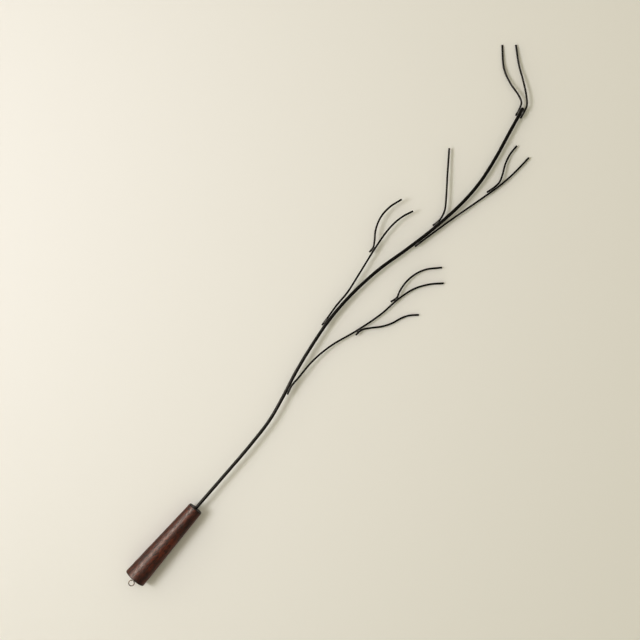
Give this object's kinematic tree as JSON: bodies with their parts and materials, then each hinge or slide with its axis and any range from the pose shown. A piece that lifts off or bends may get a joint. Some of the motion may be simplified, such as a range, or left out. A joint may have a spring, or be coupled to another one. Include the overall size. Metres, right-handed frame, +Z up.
{
  "type": "branch-shaped roasting fork",
  "caption": "Long roasting fork shaped like a bare branch: slim blunt-tipped steel rods welded along a curved stem, on a tapered wooden handle with a wire hanging eye.",
  "frame": {"origin": "bottom centre of the whole object's box, on the surface that the fork lies on", "axes": "+X along the handle from its butt towards the prong tips, +Y to the left of the handle seen from above, +Z up"},
  "size_m": [1.0216, 0.1788, 0.0348],
  "materials": {
    "stained_wood": "turned hardwood, stained dark red-brown, satin lacquer",
    "black_steel": "round steel rod, blackened, satin",
    "eye_wire": "drawn steel wire, dull bronze-grey"
  },
  "bodies": {
    "root": {"handle": "stained_wood", "screw_eye": "eye_wire", "stem": "black_steel", "branch_a": "black_steel", "twig_a1": "black_steel", "twig_a2": "black_steel", "branch_b": "black_steel", "twig_b1": "black_steel", "branch_c": "black_steel", "twig_c1": "black_steel", "twig_d": "black_steel", "prong_e1": "black_steel", "prong_e2": "black_steel"}
  },
  "joints": []
}
